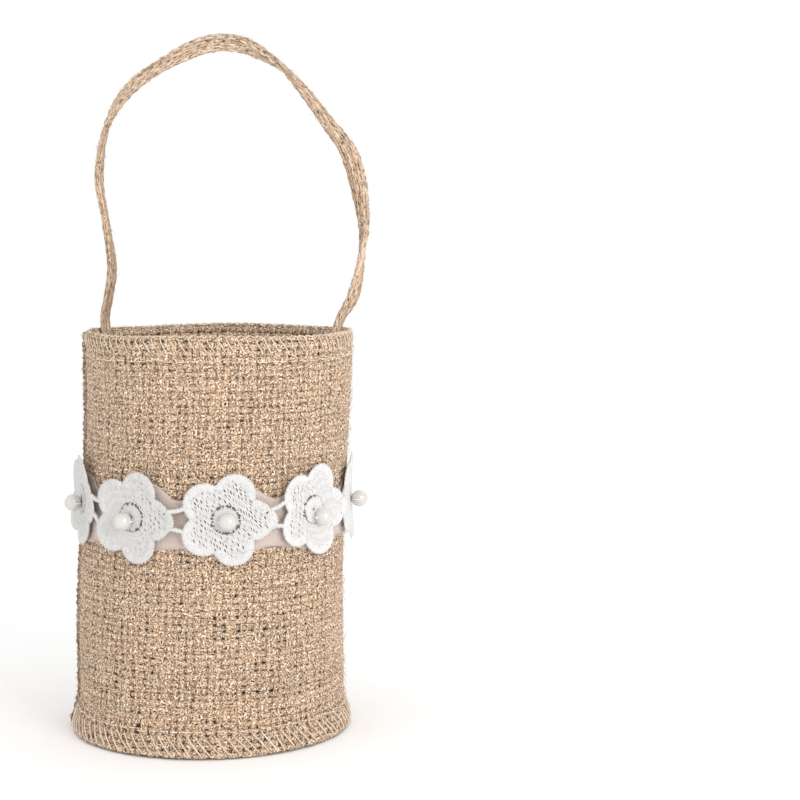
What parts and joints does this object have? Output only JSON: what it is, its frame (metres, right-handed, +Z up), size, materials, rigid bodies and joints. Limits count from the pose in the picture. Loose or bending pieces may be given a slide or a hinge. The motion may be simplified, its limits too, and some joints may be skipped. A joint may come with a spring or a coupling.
{
  "type": "flower girl basket",
  "caption": "Small round burlap basket with a folded burlap loop handle, overlocked seams and a band of pearl-centred lace flowers on organza round its middle.",
  "frame": {"origin": "centre of the base, on the surface that the basket stands on", "axes": "+Z up; the handle's two ends are sewn in at -X and +X, and the handle swings about the X direction; the side seam is near -X"},
  "size_m": [0.118, 0.1136, 0.2614],
  "materials": {
    "burlap": "matte",
    "burlap_inside": "matte",
    "thread": "matte",
    "seam_thread": "matte",
    "organza": "satin",
    "lace": "satin",
    "pearl": "gloss",
    "pearl_thread": "satin"
  },
  "bodies": {
    "basket": {"wall_panel": "burlap", "rim_hem": "burlap_inside", "base_disc": "burlap_inside", "side_seam": "burlap", "side_seam_stitching": "seam_thread", "rim_overlock_stitching": "thread", "rim_edge_thread": "thread", "hem_stitching": "thread", "base_seam_stitching": "thread", "base_overlock_stitching": "thread", "lace_ribbon": "organza", "lace_flower_1": "lace", "lace_flower_2": "lace", "lace_flower_3": "lace", "lace_flower_4": "lace", "lace_flower_5": "lace", "lace_flower_6": "lace", "lace_flower_7": "lace", "lace_flower_8": "lace", "lace_flower_9": "lace", "lace_bridge_1": "lace", "lace_bridge_2": "lace", "lace_bridge_3": "lace", "lace_bridge_4": "lace", "lace_bridge_5": "lace", "lace_bridge_6": "lace", "lace_bridge_7": "lace", "lace_bridge_8": "lace", "pearl_1": "pearl", "pearl_2": "pearl", "pearl_3": "pearl", "pearl_4": "pearl", "pearl_5": "pearl", "pearl_6": "pearl", "pearl_7": "pearl", "pearl_8": "pearl", "pearl_9": "pearl", "pearl_thread_1": "pearl_thread", "pearl_thread_2": "pearl_thread", "pearl_thread_3": "pearl_thread", "pearl_thread_4": "pearl_thread", "pearl_thread_5": "pearl_thread", "pearl_thread_6": "pearl_thread", "pearl_thread_7": "pearl_thread", "pearl_thread_8": "pearl_thread", "pearl_thread_9": "pearl_thread", "handle_tab_left": "burlap", "handle_tab_right": "burlap", "handle_tack_left": "thread", "handle_tack_right": "thread"},
    "handle": {"handle_strap": "burlap", "handle_strap_stitching": "thread"}
  },
  "joints": [
    {"name": "handle_swing", "type": "hinge", "parent": "basket", "child": "handle", "pos_m": [0, 0, 0.155], "axis": [1, 0, 0], "range_deg": [-90, 90]}
  ]
}
